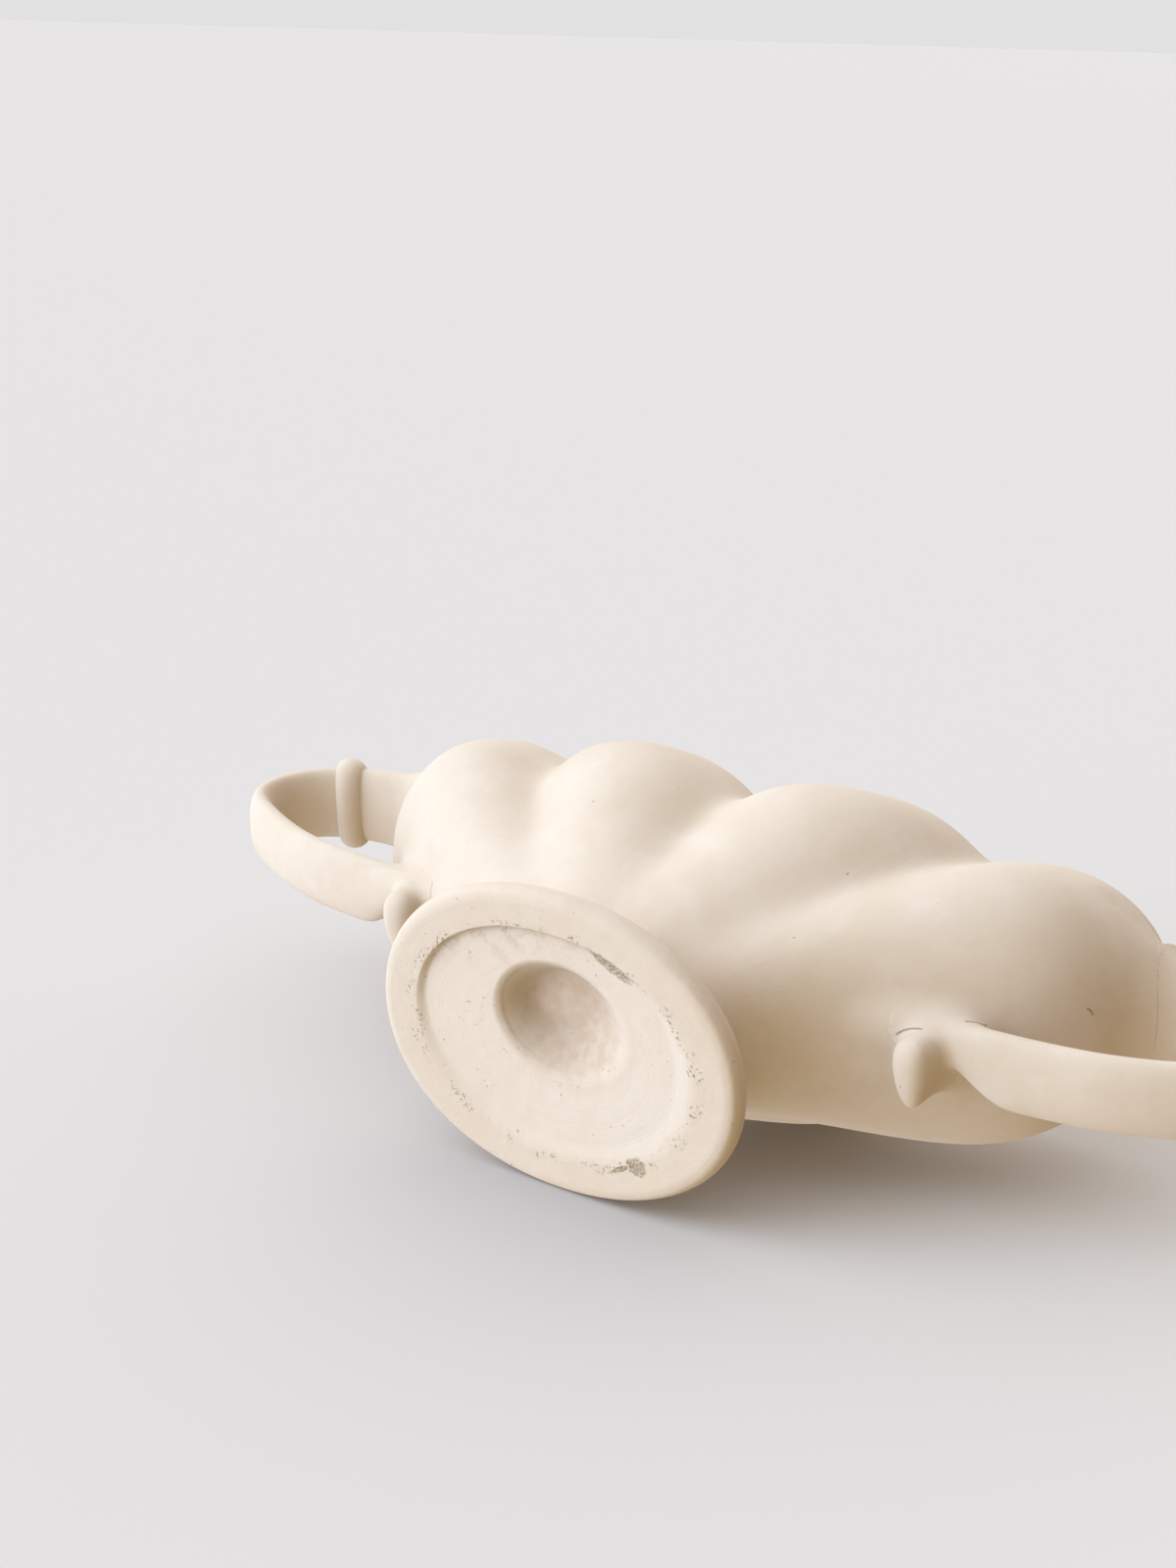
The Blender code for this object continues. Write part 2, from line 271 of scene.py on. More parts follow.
HAIRLINES = (  # cracks of the drying clay by the right root: start, end, direction that the skin faces, bow
    ((102.5, -7.8, 59.1), (112.9, -12.8, 60.3), (-0.2, -0.75, -0.6), 0.8),
    ((123.2, -14.6, 69.5), (128.8, -11.6, 76.8), (0.3, -0.93, 0.1), -0.8),
    ((152.4, -13.2, 103.4), (154.0, -9.6, 105.8), (0.91, -0.18, -0.38), 0.4),
)
HAIRLINE_WAVES, HAIRLINE_WAVE = 0.5, 0.25  # waves per mm, mm
HAIRLINE_WIDTH, HAIRLINE_DEPTH, HAIRLINE_REACH, HAIRLINE_SHARE = (0.15, 0.4), 0.35, (5.0, 7.0), 0.75


def hairline(place, start, end, facing, bow):
    """Mask of a crack: near the plane through a line and the skin's normal, between the ends of the line.

    The line is bowed as 1 - (2 * share - 1)^2 and wavers with noise."""
    start, end, facing = (Vector(v) for v in (start, end, facing))
    run = end - start
    ahead, beside = run.normalized(), run.cross(facing).normalized()
    out = beside.cross(ahead)
    share = (place.dot(ahead) - start.dot(ahead)) * (1 / run.length)
    wave = (place.noise(HAIRLINE_WAVES) * 2 - 1) * HAIRLINE_WAVE
    off = place.dot(beside) - start.dot(beside) + bow * (1 - 4 * (share - 0.5) ** 2) + wave
    depth = abs(place.dot(out) - start.dot(out))
    length = share.step(0.0, 0.1) * (1 - share.step(0.85, 1.0))
    return (1 - abs(off).step(*HAIRLINE_WIDTH)) * length * (1 - depth.step(*HAIRLINE_REACH))


def cracked(place, colour, height):
    """Colour and height with the hairlines sunk into them."""
    for line in HAIRLINES:
        crack = hairline(place, *line)
        colour, height = colour.tint(crack * HAIRLINE_SHARE, PIT_AND_SHADE), height - HAIRLINE_DEPTH * crack
    return colour, height


def fired(piece, material, colour, height, roughness=CLAY_ROUGHNESS):
    """Finishes the clay: colour and relief into the shader, matt all over."""
    shader = material.node_tree.nodes["Principled BSDF"]
    links = material.node_tree.links
    links.new(colour.socket, shader.inputs["Base Color"])
    bump = height.node("ShaderNodeBump", {}, {"Strength": 1.0, "Distance": MM, "Height": height}, "Normal")
    links.new(bump.socket, shader.inputs["Normal"])
    shader.inputs["Roughness"].default_value = roughness
    shader.inputs["Specular IOR Level"].default_value = CLAY_SPECULAR
    piece.data.materials.append(material)


material, place, colour, height = raw_clay("earthenware_body", up_the_lobes=True)
fired(vessel, material, *cracked(place, colour, height))
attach(vessel, "root")
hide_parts("body")

# Foot. An oval pedestal pressed in its own mould and luted under the waist with a fillet of clay, hollow
# below: a flat standing ring, a shallow recess inside it and a thumbed hollow in the middle. The same clay,
# scuffed where it stands, with painted shade in patches along the recess's sharp step and a pinkish brown
# in the middle hollow that is partly painted shade.
FOOT_SQUARENESS = 2.1
WAIST_HEIGHTS = ((38.0, -0.5), (33.5, -0.2), (29.0, 0.5))  # height on the body, distance out of its skin
WAIST_RINGS = ((46.6, 31.4, 24.2), (46.0, 30.6, 19.6))
FOOT_RINGS = (  # half length, half depth, height
    (49.5, 33.4, 15.8),
    (56.5, 39.2, 13.0),
    (66.0, 47.3, 11.2),
    (73.2, 54.2, 9.2),
    (75.9, 56.9, 6.3),
    (75.6, 56.6, 3.2),
    (74.2, 55.2, 0.9),
    (71.5, 52.4, 0.0),
)
RING_INSIDE = (60.0, 43.4)
FOOT_AROUND, FOOT_UP, RING_STEPS, UNDER_STEPS, UNDER_CROWDING = 320, 110, 8, 110, 1.5
SEAT_BAND = np.array([[0.5], [0.0], [-0.5]])  # heights about the seat that give its normals
RECESS_DEPTH, DISH_DEPTH, HOLLOW_DEPTH = 2.0, 3.0, 12.0
CRISP_TOWARDS, CRISP_FALL = 4.3, 1.5  # bearing (radians) of the recess's sharp step, how soon it softens
CRISP_STEP, SOFT_STEP, SOFT_SHARE = 1.3, 8.0, 0.4  # widths of the step, share of its depth where it is soft
HOLLOW_AT, HOLLOW_REACH = (3.5, -9.0), (27.8, 21.8)
HOLLOW_EDGE, HOLLOW_STEEP, HOLLOW_GENTLE, GENTLE_TOWARDS = 1.08, 0.4, 0.95, 0.5
BROWN_AT, BROWN_REACH = (4.5, -6.9), (30.0, 23.0)
HOLLOW_UNDER, SOLE_UNDER, STAINED_UNDER = (14.0, 18.0), (3.6, 5.0), (5.0, 7.0)  # heights where the marks end
TURNED_LINES, RECESS_EDGE, SOLE_ROUGHNESS = 34.0, 1.01, 0.85
CRUMBS, POCKS, STEP_SHADE_PATCHES, SOLE_SWELL, BROWN_MOTTLE, ASH_SPECKS = 0.8, 0.55, 0.12, 0.13, 0.2, 1.1  # per mm
CRUMB_PLACES, POCK_PLACES, STAIN_FRAY, STAIN_FRAYING = 0.11, 0.07, 0.35, 0.45
CRUMB_SHARE, POCK_SHARE, STEP_SHADE_SHARE, BLUSH_AND_SHADE_SHARE = 0.6, 0.5, 0.3, 0.85
PALE_RECESS, WARM_RING, WARM_TURNING = 0.5, 0.15, 0.22
TURNED_RELIEF, SOLE_RELIEF, CRUMB_DEPTH, POCK_DEPTH, STAIN_DEPTH = 0.1, 0.3, 0.35, 0.3, 0.2  # mm
STAINS = (  # middle, half length, half width, turn in degrees: old grey-green specks of kiln ash
    ((25.2, -37.0), 10.0, 2.6, 26.0),
    ((36.0, 36.2), 4.4, 3.6, 0.0),
    ((29.0, 39.2), 4.6, 1.0, -30.0),
)
# Grey-green of the kiln ash; pinkish brown of the middle hollow, which is partly painted shade of the hollow.
ASH, BLUSH_AND_SHADE = (0.33, 0.27, 0.15), (0.67, 0.51, 0.37)


def oval(angle, squareness):
    """Polar radius of a superellipse in a unit box."""
    return (np.abs(np.cos(angle)) ** squareness + np.abs(np.sin(angle)) ** squareness) ** (-1 / squareness)


def smooth(t):
    """Smooth step: 3 t^2 - 2 t^3 on 0 to 1."""
    t = np.clip(t, 0, 1)
    return t * t * (3 - 2 * t)


foot_angle = np.linspace(0, 2 * np.pi, FOOT_AROUND, endpoint=False)
foot_plan = oval(foot_angle, FOOT_SQUARENESS) * np.stack([np.cos(foot_angle), np.sin(foot_angle)])


def foot_ring(half_x, half_y, z):
    """Oval at a height: X = half length * plan x, Y = half depth * plan y."""
    return np.stack([half_x * foot_plan[0], half_y * foot_plan[1], z + 0 * foot_plan[0]], -1)


joint_ray = WAIST_RINGS[0][0] * foot_plan[0], WAIST_RINGS[0][1] * foot_plan[1]
seat = []
for z, out in WAIST_HEIGHTS:
    band = body_skin(*joint_ray, z + SEAT_BAND)
    seat.append((band - out * grid_normals(band))[1])
flank_stations = np.array([*seat, *(foot_ring(*row) for row in (*WAIST_RINGS, *FOOT_RINGS))])
at = np.linspace(0, len(flank_stations) - 1, FOOT_UP)
flank = spline(flank_stations.reshape(len(flank_stations), -1), at).reshape(FOOT_UP, FOOT_AROUND, 3)
inward = np.linspace(0, 1, RING_STEPS + 1)[1:, None]
standing_x, standing_y = ((1 - inward) * a + inward * b for a, b in zip(FOOT_RINGS[-1][:2], RING_INSIDE))
standing = foot_ring(standing_x, standing_y, 0 * inward)
share = 1 - np.linspace(0, 1, UNDER_STEPS + 1)[1:-1, None] ** UNDER_CROWDING
under = foot_ring(RING_INSIDE[0] * share, RING_INSIDE[1] * share, 0 * share)
crisp = smooth((1 + np.cos(foot_angle - CRISP_TOWARDS)) / 2) ** CRISP_FALL
step_width = SOFT_STEP + (CRISP_STEP - SOFT_STEP) * crisp
depth = DISH_DEPTH + share * (RECESS_DEPTH * (SOFT_SHARE + (1 - SOFT_SHARE) * crisp) - DISH_DEPTH)
under[..., 2] += depth * smooth((1 - share) * RING_INSIDE[1] / step_width)
hollow_x, hollow_y = ((under[..., i] - HOLLOW_AT[i]) / HOLLOW_REACH[i] for i in (0, 1))
gentle = (1 + np.cos(np.arctan2(hollow_y, hollow_x) - GENTLE_TOWARDS)) / 2
hollow_slope = HOLLOW_STEEP + (HOLLOW_GENTLE - HOLLOW_STEEP) * gentle
under[..., 2] += HOLLOW_DEPTH * smooth((HOLLOW_EDGE - np.hypot(hollow_x, hollow_y)) / hollow_slope)
pedestal = ring_mesh("foot", np.concatenate([flank, standing, under]), last=under[-1].mean(0))

material, place, colour, height = raw_clay("earthenware_foot")
below, sole, stained = (
    1 - place.dot((0, 0, 1)).step(*heights) for heights in (HOLLOW_UNDER, SOLE_UNDER, STAINED_UNDER)
)
recess = (place.dot((1 / RING_INSIDE[0], 0, 0)) ** 2 + place.dot((0, 1 / RING_INSIDE[1], 0)) ** 2) ** 0.5
turned = recess.node("ShaderNodeCombineXYZ", {}, {"X": recess * TURNED_LINES}).noise(1.0, 3.0, 0.7)
edge = 1 - abs(recess - RECESS_EDGE).step(0.02, 0.08)
crumbs = place.noise(CRUMBS, 3.0, 0.6).step(0.56, 0.64) * place.noise(CRUMB_PLACES, 2.0).step(0.48, 0.58)
crumbs = crumbs * edge * sole
# Painted shade: darker patches on the recess floor along its sharp step, toward the bearing CRISP_TOWARDS.
toward_step = place.dot((np.cos(CRISP_TOWARDS) / RING_INSIDE[0], np.sin(CRISP_TOWARDS) / RING_INSIDE[1], 0))
painted_step_shade = place.noise(STEP_SHADE_PATCHES, 4.0, 0.65).step(0.42, 0.62) * sole
painted_step_shade = painted_step_shade * toward_step.step(0.55, 0.95) * (1 - recess.step(0.98, 1.06))
pocks = place.noise(POCKS, 3.0, 0.55).step(0.68, 0.73) * place.noise(POCK_PLACES, 1.0).step(0.48, 0.6) * sole
# Pinkish brown mottling over the middle hollow, partly the clay's own colour and partly painted shade of the
# hollow.
bowl_x = place.dot((1 / BROWN_REACH[0], 0, 0)) - BROWN_AT[0] / BROWN_REACH[0]
bowl_y = place.dot((0, 1 / BROWN_REACH[1], 0)) - BROWN_AT[1] / BROWN_REACH[1]
bowl = (bowl_x**2 + bowl_y**2) ** 0.5
hollow_blush_and_shade = (1 - bowl.step(0.55, 1.15)) * below
hollow_blush_and_shade = hollow_blush_and_shade * (0.4 + 0.6 * place.noise(BROWN_MOTTLE, 4.0, 0.65).step(0.35, 0.65))
colour = colour.tint((1 - recess.step(0.9, 1.02)) * sole * PALE_RECESS, PALE)
colour = colour.tint(recess.step(0.98, 1.06) * sole * WARM_RING, WARM)
colour = colour.tint(turned.step(0.45, 0.7) * sole * WARM_TURNING, WARM).tint(hollow_blush_and_shade * BLUSH_AND_SHADE_SHARE, BLUSH_AND_SHADE)
for mark, share in ((crumbs, CRUMB_SHARE), (pocks, POCK_SHARE), (painted_step_shade, STEP_SHADE_SHARE)):
    colour = colour.tint(mark * share, PIT_AND_SHADE)
height = height + (TURNED_RELIEF * turned + SOLE_RELIEF * place.noise(SOLE_SWELL, 3.0, 0.6)) * sole
height = height - CRUMB_DEPTH * crumbs - POCK_DEPTH * pocks
for middle, half_length, half_width, degrees in STAINS:
    cos, sin = np.cos(np.radians(degrees)), np.sin(np.radians(degrees))
    ahead = (place.dot((cos, sin, 0)) - (middle[0] * cos + middle[1] * sin)) * (1 / half_length)
    beside = (place.dot((-sin, cos, 0)) - (middle[1] * cos - middle[0] * sin)) * (1 / half_width)
    spread = (ahead**2 + beside**2) ** 0.5 + (place.noise(STAIN_FRAY, 3.0, 0.7) * 2 - 1) * STAIN_FRAYING
    stain = (1 - spread.step(0.75, 1.05)) * stained
    colour = colour.tint(stain * (0.35 + 0.6 * place.noise(ASH_SPECKS, 2.0).step(0.35, 0.65)), ASH)
    height = height - STAIN_DEPTH * stain
fired(pedestal, material, colour, height, SOLE_ROUGHNESS)
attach(pedestal, "root")
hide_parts("foot", "foot_slip")

# Handles. Straps of the same clay, pulled by hand, bent to an ear and pressed on while damp: the upper end
# flares into the end lobe under the lip, the lower end narrows to its front edge where it is thumbed on, and
# its tail is left standing. Both joints are sponged over, so the pieces run into each other.
HANDLE_RUN = (  # distance out, height, strap width, strap thickness, sideways shift
    (148.0, 140.3, 41.0, 12.6, 0.0),
    (158.0, 141.0, 39.5, 12.2, 0.0),
    (172.0, 141.8, 36.5, 11.2, 0.0),
    (190.0, 141.2, 34.0, 10.6, 0.0),
    (207.0, 137.2, 32.5, 10.5, 0.0),
    (219.5, 129.4, 31.5, 10.5, 0.0),
    (227.4, 118.0, 30.5, 10.5, 0.0),
    (228.4, 106.0, 29.5, 10.5, 0.0),
    (221.5, 96.0, 29.0, 10.5, 0.0),
    (208.0, 88.0, 28.5, 10.5, 0.0),
    (192.0, 80.6, 28.0, 10.5, 0.0),
    (172.0, 73.8, 28.0, 10.5, 0.0),
    (152.0, 70.6, 28.0, 10.5, 0.0),
    (138.0, 69.4, 27.0, 11.0, -0.5),
    (127.0, 68.6, 20.0, 11.8, -4.0),
    (117.0, 68.0, 13.0, 12.5, -7.5),
    (106.0, 67.5, 11.0, 12.5, -8.5),
    (92.0, 67.0, 11.0, 12.5, -8.5),
)
TAIL_RUN = (  # the same measures
    (115.5, 77.0, 22.0, 15.5, -1.0),
    (113.8, 68.0, 24.5, 16.5, 0.5),
    (112.4, 60.5, 26.5, 17.0, 1.6),
    (111.8, 55.5, 26.5, 16.6, 2.0),
)
TAIL_TAPER, TAIL_TIP = 0.45, 6.0  # share of the thickness lost at the back edge, height of the domed end
STRAP_SQUARENESS, STRAP_AROUND, STRAP_STEPS = 2.3, 72, 20
STRAP_MADE = 1.0, len(HANDLE_RUN) - 1.5  # stations that the strap is made between: past them is the wall
LOWER_SOFTNESS, UPPER_SOFTNESS, TAIL_SOFTNESS = 10.0, 21.0, 4.0
UPPER_FROM, UPPER_WHOLE = 95.0, 125.0  # heights between which the fillet widens
STRAP_UNDER_LIP, SKIN_UNDER_LIP = 3.6, 7.0  # depth under the lip over which the fillet fades out
DEEPEST, DEEP_FADE, ROOTS_FROM = 4.5, 3.0, 80.0  # how deep in the other piece the fillet goes, nearest root
DRAWING_STEPS, LONGEST_STEP, LONGEST_PUSH = 8, 1.5, 2.0
HEADING_STEP, RUN_STEPS, DOME_STEPS, SLOPE_REACH, LEAST_SLOPE = 0.02, 12, 9, 0.4, 0.2


def strap_rings(run, side, at, grow=0.0, taper=0.0):
    """Superellipse of the strap's width and thickness carried along the run, square to its heading."""
    x, z, width, thickness, shift = spline(run, at).T[:, :, None]
    ahead = (spline(run, at + HEADING_STEP) - spline(run, at - HEADING_STEP))[:, :2]
    ahead = ahead / np.linalg.norm(ahead, axis=1, keepdims=True)
    angle = np.linspace(0, 2 * np.pi, STRAP_AROUND, endpoint=False)
    radius = oval(angle, STRAP_SQUARENESS)
    grow = np.reshape(grow, (-1, 1))
    lift = (thickness / 2 * (1 - taper * (1 + np.cos(angle)) / 2) + grow) * radius * np.sin(angle)
    across = shift + (width / 2 + grow) * radius * np.cos(angle)
    return np.stack([side * (x - ahead[:, 1:] * lift), across, z + ahead[:, :1] * lift], -1)


def strap_distance(point, run, side, taper=0.0):
    """Distance to a strap: superellipse level about the run's nearest place, over its gradient's length."""
    rows = spline(run, np.linspace(0, len(run) - 1, (len(run) - 1) * RUN_STEPS + 1))
    heading = np.gradient(rows[:, :2], axis=0)
    pace = np.linalg.norm(heading, axis=1, keepdims=True)
    heading = heading / pace
    flat = np.stack([side * point[..., 0], point[..., 2]], -1)
    near = np.argmin(((flat[..., None, :] - rows[:, :2]) ** 2).sum(-1), -1)
    slid = ((flat - rows[near, :2]) * heading[near]).sum(-1)
    at = np.clip(near + slid / pace[near, 0], 0, len(rows) - 1)
    table = np.hstack([rows, heading])
    x, z, width, thickness, shift, ahead_x, ahead_z = (
        np.interp(at, np.arange(len(rows)), column) for column in table.T
    )
    away_x, away_z, across = flat[..., 0] - x, flat[..., 1] - z, point[..., 1] - shift
    lift, beyond = np.abs(away_z * ahead_x - away_x * ahead_z), np.abs(away_x * ahead_x + away_z * ahead_z)
    thickness = thickness * (1 - taper * (1 + np.clip(2 * across / width, -1, 1)) / 2)
    half = np.stack([thickness, width, thickness], -1) / 2
    ratio = np.stack([lift, np.abs(across), beyond], -1) / half + LEAST
    level = (ratio**STRAP_SQUARENESS).sum(-1) ** (1 / STRAP_SQUARENESS)
    slope = np.linalg.norm((ratio / level[..., None]) ** (STRAP_SQUARENESS - 1) / half, axis=-1)
    return (level - 1) / slope


def body_distance(point):
    """Distance to the body's outside: that in plan, over the length of its gradient, which is 1 in plan."""
    x, y, z = np.moveaxis(point, -1, 0)
    level = plan_distance(x, y, z)
    return level / np.hypot(1, plan_distance(x, y, z + 1) - level)


def soft_union(a, b, softness):
    """Smaller of two distances, rounded off where they are within softness of each other."""
    near = np.maximum(softness - np.abs(a - b), 0) / softness
    return np.minimum(a, b) - near**2 * softness / 4


def handle_distance(point, side):
    """Distance to a strap and its tail, run together."""
    tail = strap_distance(point, TAIL_RUN, side, TAIL_TAPER)
    return soft_union(strap_distance(point, HANDLE_RUN, side), tail, TAIL_SOFTNESS)


def joined(point, side):
    """Distance to the handle and the body, run together with a wider fillet at the upper root."""
    share = smooth((point[..., 2] - UPPER_FROM) / (UPPER_WHOLE - UPPER_FROM))
    softness = LOWER_SOFTNESS + share * (UPPER_SOFTNESS - LOWER_SOFTNESS)
    return soft_union(handle_distance(point, side), body_distance(point), softness)


def slope_of(distance, point):
    """Unit gradient of a distance function, by central differences along the three axes."""
    steps = SLOPE_REACH * np.eye(3)
    slope = np.stack([distance(point + s) - distance(point - s) for s in steps], -1) / (2 * SLOPE_REACH)
    return slope / np.maximum(np.linalg.norm(slope, axis=-1, keepdims=True), LEAST_SLOPE)


def drawn_out(points, side, others, under_lip):
    """Moves points on to the skin of the joined pieces: along its gradient, where the others are near."""

    def whole(point):
        return joined(point, side)

    depth = others(points)
    keep = (depth < UPPER_SOFTNESS) & (depth > -DEEPEST)
    start = moved = points[keep]
    for _ in range(DRAWING_STEPS):
        moved = moved - np.clip(whole(moved), -LONGEST_STEP, LONGEST_STEP)[:, None] * slope_of(whole, moved)
    fade = smooth((depth[keep] + DEEPEST) / DEEP_FADE)
    fade = fade * smooth((LOBE_STATIONS[-1][0] - start[:, 2]) / under_lip)
    points = points.copy()
    points[keep] = start + fade[:, None] * (moved - start)
    return points


def seated(points):
    """Moves what lies deeper in the body than the middle of its wall out to there."""
    points = points.copy()
    deep = body_distance(points) < -WALL / 2
    for _ in range(DRAWING_STEPS):
        push = np.clip(-WALL / 2 - body_distance(points[deep]), -LONGEST_PUSH, LONGEST_PUSH)
        points[deep] += push[:, None] * slope_of(body_distance, points[deep])
    return points


skin_points = outside.reshape(-1, 3)
dome = np.linspace(0, np.pi / 2, DOME_STEPS)[1:-1, None, None]
for side, hand in ((-1, "left"), (1, "right")):

    def by_tail(point, side=side):
        return np.minimum(body_distance(point), strap_distance(point, TAIL_RUN, side, TAIL_TAPER))

    def by_strap(point, side=side):
        return np.minimum(body_distance(point), strap_distance(point, HANDLE_RUN, side))

    at = np.linspace(*STRAP_MADE, (len(HANDLE_RUN) - 2) * STRAP_STEPS)
    strap = strap_rings(HANDLE_RUN, side, at)
    at = np.linspace(0, len(TAIL_RUN) - 1, len(TAIL_RUN) * STRAP_STEPS)
    tail = strap_rings(TAIL_RUN, side, at, taper=TAIL_TAPER)
    end, ahead = tail[-1].mean(0), tail[-1].mean(0) - tail[-2].mean(0)
    ahead = TAIL_TIP * ahead / np.linalg.norm(ahead)
    tail = np.concatenate([tail, end + (tail[-1] - end) * np.cos(dome) + ahead * np.sin(dome)])
    material, place, colour, height = raw_clay(f"earthenware_{hand}_handle")
    colour, height = cracked(place, colour, height)
    for name, rings, others in ((f"{hand}_handle", strap, by_tail), (f"{hand}_tail", tail, by_strap)):
        points = seated(drawn_out(rings.reshape(-1, 3), side, others, STRAP_UNDER_LIP)).reshape(rings.shape)
        piece = ring_mesh(name, points, points[0].mean(0), points[-1].mean(0))
        fired(piece, material, colour, height)
        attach(piece, "root")
        if rings is strap:
            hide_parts(f"{hand}_handle", f"{hand}_upper_slip", f"{hand}_lower_slip")

    def by_handle(point, side=side):
        return handle_distance(point, side)

    near_root = side * skin_points[:, 0] > ROOTS_FROM
    skin_points[near_root] = drawn_out(skin_points[near_root], side, by_handle, SKIN_UNDER_LIP)
everything = np.zeros(len(vessel.data.vertices) * 3)
vessel.data.vertices.foreach_get("co", everything)
everything[: skin_points.size] = (skin_points * MM).ravel()
vessel.data.vertices.foreach_set("co", everything)
vessel.data.update()

# Collars. A bead of the same clay, rolled and wrapped round the upper strand of each handle where it starts
# to bend, pressed on and smoothed at both edges.
COLLAR_AT, COLLAR_WIDTH, COLLAR_RISE, COLLAR_SUNK, COLLAR_STEPS = 4.0, 12.5, 4.8, 0.6, 41
for side, hand in ((-1, "left"), (1, "right")):
    roll = np.linspace(-0.5, 0.5, COLLAR_STEPS) * np.pi
    ends = spline(HANDLE_RUN, np.array([COLLAR_AT - 0.5, COLLAR_AT + 0.5]))[:, :2]
    at = COLLAR_AT + COLLAR_WIDTH / np.linalg.norm(ends[1] - ends[0]) * np.sin(roll) / 2
    bead = strap_rings(HANDLE_RUN, side, at, COLLAR_RISE * np.cos(roll) - COLLAR_SUNK)
    collar = ring_mesh(f"{hand}_collar", bead, bead[0].mean(0), bead[-1].mean(0))
    material, place, colour, height = raw_clay(f"earthenware_{hand}_collar")
    fired(collar, material, colour, height)
    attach(collar, "root")
    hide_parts(f"{hand}_collar")

# Studio. Pale paper that the vase lies on, a shelf of the same paper under its foot, soft light from several
# bright directions of the room, and the camera at the photograph's place. Both sheets show from above only,
# so that the vase can be seen from every side.
CAMERA_AT, LOOKS_AT = Vector((449.9, -389.9, -597.6)) * MM, Vector((0.0, -89.2, 26.0)) * MM
CAMERA_ROLL, SENSOR_HEIGHT, FOCAL_LENGTH, NEAREST, FARTHEST = -1.24, 36.0, 55.627, 0.01, 100.0
FRONT = Vector((0.0, -1.0, 0.0))  # the broad side that is turned up
camera_back = (CAMERA_AT - LOOKS_AT).normalized()
camera_level = FRONT.cross(camera_back).normalized()
camera_right = Matrix.Rotation(np.radians(CAMERA_ROLL), 3, camera_back) @ camera_level
FOOT_EDGE, LEANS_ABOVE = FOOT_RINGS[4][1:], 60.0  # where the vase touches the paper: foot, lobes
leaning = skin_points[skin_points[:, 2] > LEANS_ABOVE]
PAPER_SLOPE = np.max((leaning[:, 1] - FOOT_EDGE[0]) / (leaning[:, 2] - FOOT_EDGE[1]))
PAPER_UP = Vector((0.0, -1.0, PAPER_SLOPE)).normalized()
PAPER_AT = Vector((0.0, *FOOT_EDGE)) * MM
PAPER_RIGHT = (camera_right - PAPER_UP * PAPER_UP.dot(camera_right)).normalized()
PAPER_AWAY = PAPER_UP.cross(PAPER_RIGHT)
PAPER, PAPER_ROUGHNESS, PAPER_SPECULAR = (0.745, 0.722, 0.69), 0.95, 0.1
ROOM = (0.20, 0.11, 0.03)  # warm light that comes back from the room
BRIGHT_WALLS = (  # direction over the paper (right, away, up), narrowness, colour
    ((-0.86, -0.16, 0.48), 10.0, (3.6, 4.2, 5.0)),
    ((0.05, 0.98, 0.17), 2.0, (0.60, 0.65, 0.72)),
    ((-0.1, -0.1, 0.99), 3.0, (0.95, 1.04, 1.17)),
    ((-0.8, 0.0, -0.6), 3.0, (1.22, 1.42, 1.85)),
    ((0.0, -0.8, -0.6), 3.0, (0.45, 0.38, 0.16)),
    ((0.58, 0.81, 0.08), 4.0, (1.0, 1.04, 1.08)),
)
SHEET_REACH, SHELF_DROP = 60.0, 0.0005  # metres
SHADED, BOUNCED = 0.8, (1.4, 1.6)  # share of the bounced light that the paper stops, turns from which it does
SEEN = (0.755, 0.755, 0.765)  # the colour past the paper's edge


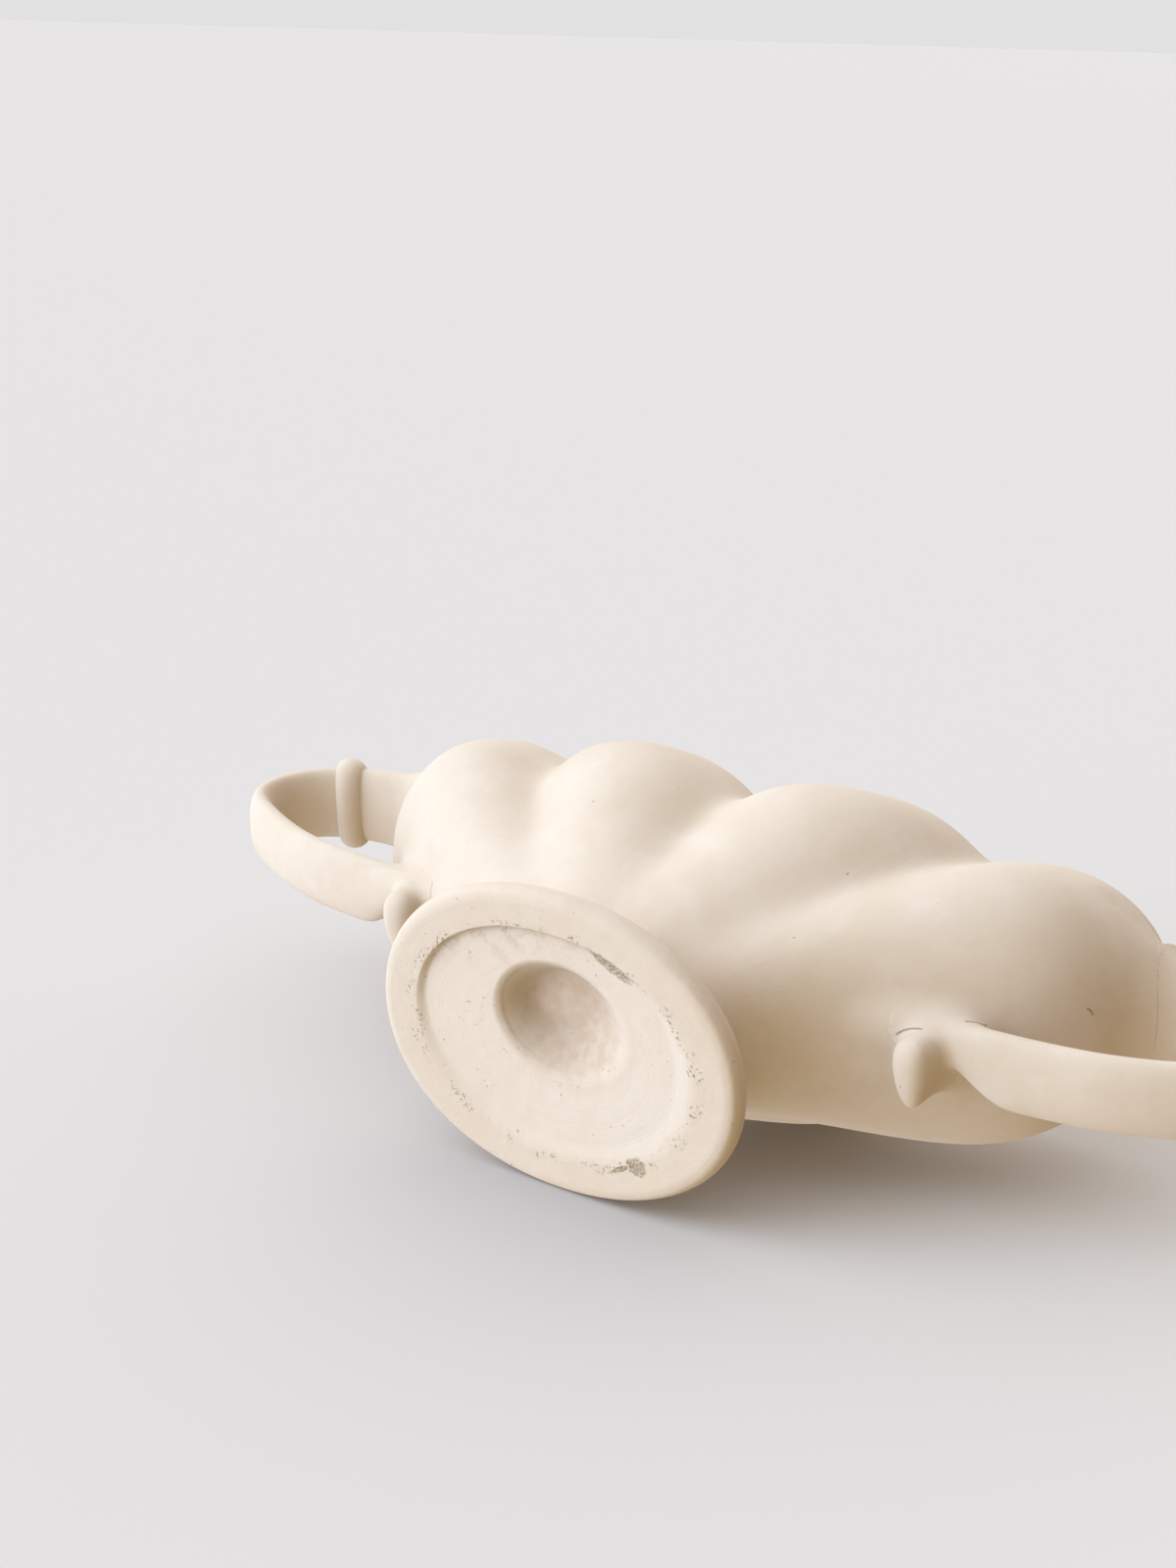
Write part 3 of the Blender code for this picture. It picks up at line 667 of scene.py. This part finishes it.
def sheet(name, at, right, away):
    """Flat square of paper, which shows from above only.

    What is looked at gets its light as if the paper were clear, so that the vase's back isn't dark. What
    throws light on that in turn is shaded by the paper, which keeps the shadow under the vase deep."""
    corners = ((-1, -1), (1, -1), (1, 1), (-1, 1))
    mesh = bpy.data.meshes.new(name)
    mesh.from_pydata([at + SHEET_REACH * (a * right + b * away) for a, b in corners], [], [(0, 1, 2, 3)])
    made = bpy.data.objects.new(name, mesh)
    bpy.context.scene.collection.objects.link(made)
    paper = bpy.data.materials.new(name)
    paper.use_nodes = True
    nodes = paper.node_tree.nodes
    shader = nodes["Principled BSDF"]
    shader.inputs["Base Color"].default_value = (*PAPER, 1.0)
    shader.inputs["Roughness"].default_value = PAPER_ROUGHNESS
    shader.inputs["Specular IOR Level"].default_value = PAPER_SPECULAR
    back = Wire(nodes.new("ShaderNodeNewGeometry").outputs["Backfacing"])
    ray = nodes.new("ShaderNodeLightPath").outputs
    looked_at, shading = Wire(ray["Is Camera Ray"]), Wire(ray["Is Shadow Ray"])
    bounces = Wire(ray["Diffuse Depth"])
    solid = (1 - back) * (looked_at + SHADED * (bounces + shading).step(*BOUNCED))
    clear = back.node("ShaderNodeBsdfTransparent", {}, {})
    shown = back.node("ShaderNodeMixShader", {}, {0: solid, 1: clear, 2: Wire(shader.outputs[0])})
    paper.node_tree.links.new(shown.socket, nodes["Material Output"].inputs["Surface"])
    mesh.materials.append(paper)


sheet("paper", PAPER_AT, PAPER_RIGHT, PAPER_AWAY)
sheet("shelf", Vector((0.0, 0.0, -SHELF_DROP)), Vector((1.0, 0.0, 0.0)), Vector((0.0, 1.0, 0.0)))
world = bpy.data.worlds.new("studio")
world.use_nodes = True
nodes, links = world.node_tree.nodes, world.node_tree.links
sky = Wire(nodes.new("ShaderNodeTexCoord").outputs["Generated"])
glow = sky.node("ShaderNodeVectorMath", {"operation": "MULTIPLY_ADD"}, {0: sky, 1: (0, 0, 0), 2: ROOM})
for (right, away, up), narrowness, colour in BRIGHT_WALLS:
    facing = sky.dot((PAPER_RIGHT * right + PAPER_AWAY * away + PAPER_UP * up).normalized())
    lobe = facing.math("MAXIMUM", facing, 0.0) ** narrowness
    lit = sky.node("ShaderNodeVectorMath", {"operation": "SCALE"}, {0: colour, "Scale": lobe})
    glow = sky.node("ShaderNodeVectorMath", {"operation": "ADD"}, {0: glow, 1: lit})
looked_at = Wire(nodes.new("ShaderNodeLightPath").outputs["Is Camera Ray"])
shown = sky.node("ShaderNodeMix", {"data_type": "RGBA"}, {0: looked_at, 6: glow, 7: (*SEEN, 1.0)}, 2)
links.new(shown.socket, nodes["Background"].inputs["Color"])
bpy.context.scene.world = world
bpy.context.scene.view_settings.view_transform = "Standard"

lens = bpy.data.cameras.new("camera")
lens.sensor_fit, lens.sensor_height, lens.lens = "VERTICAL", SENSOR_HEIGHT, FOCAL_LENGTH
lens.clip_start, lens.clip_end = NEAREST, FARTHEST
camera = bpy.data.objects.new("camera", lens)
axes = Matrix((camera_right, camera_back.cross(camera_right), camera_back)).transposed()
camera.matrix_world = Matrix.Translation(CAMERA_AT) @ axes.to_4x4()
bpy.context.scene.collection.objects.link(camera)
bpy.context.scene.camera = camera
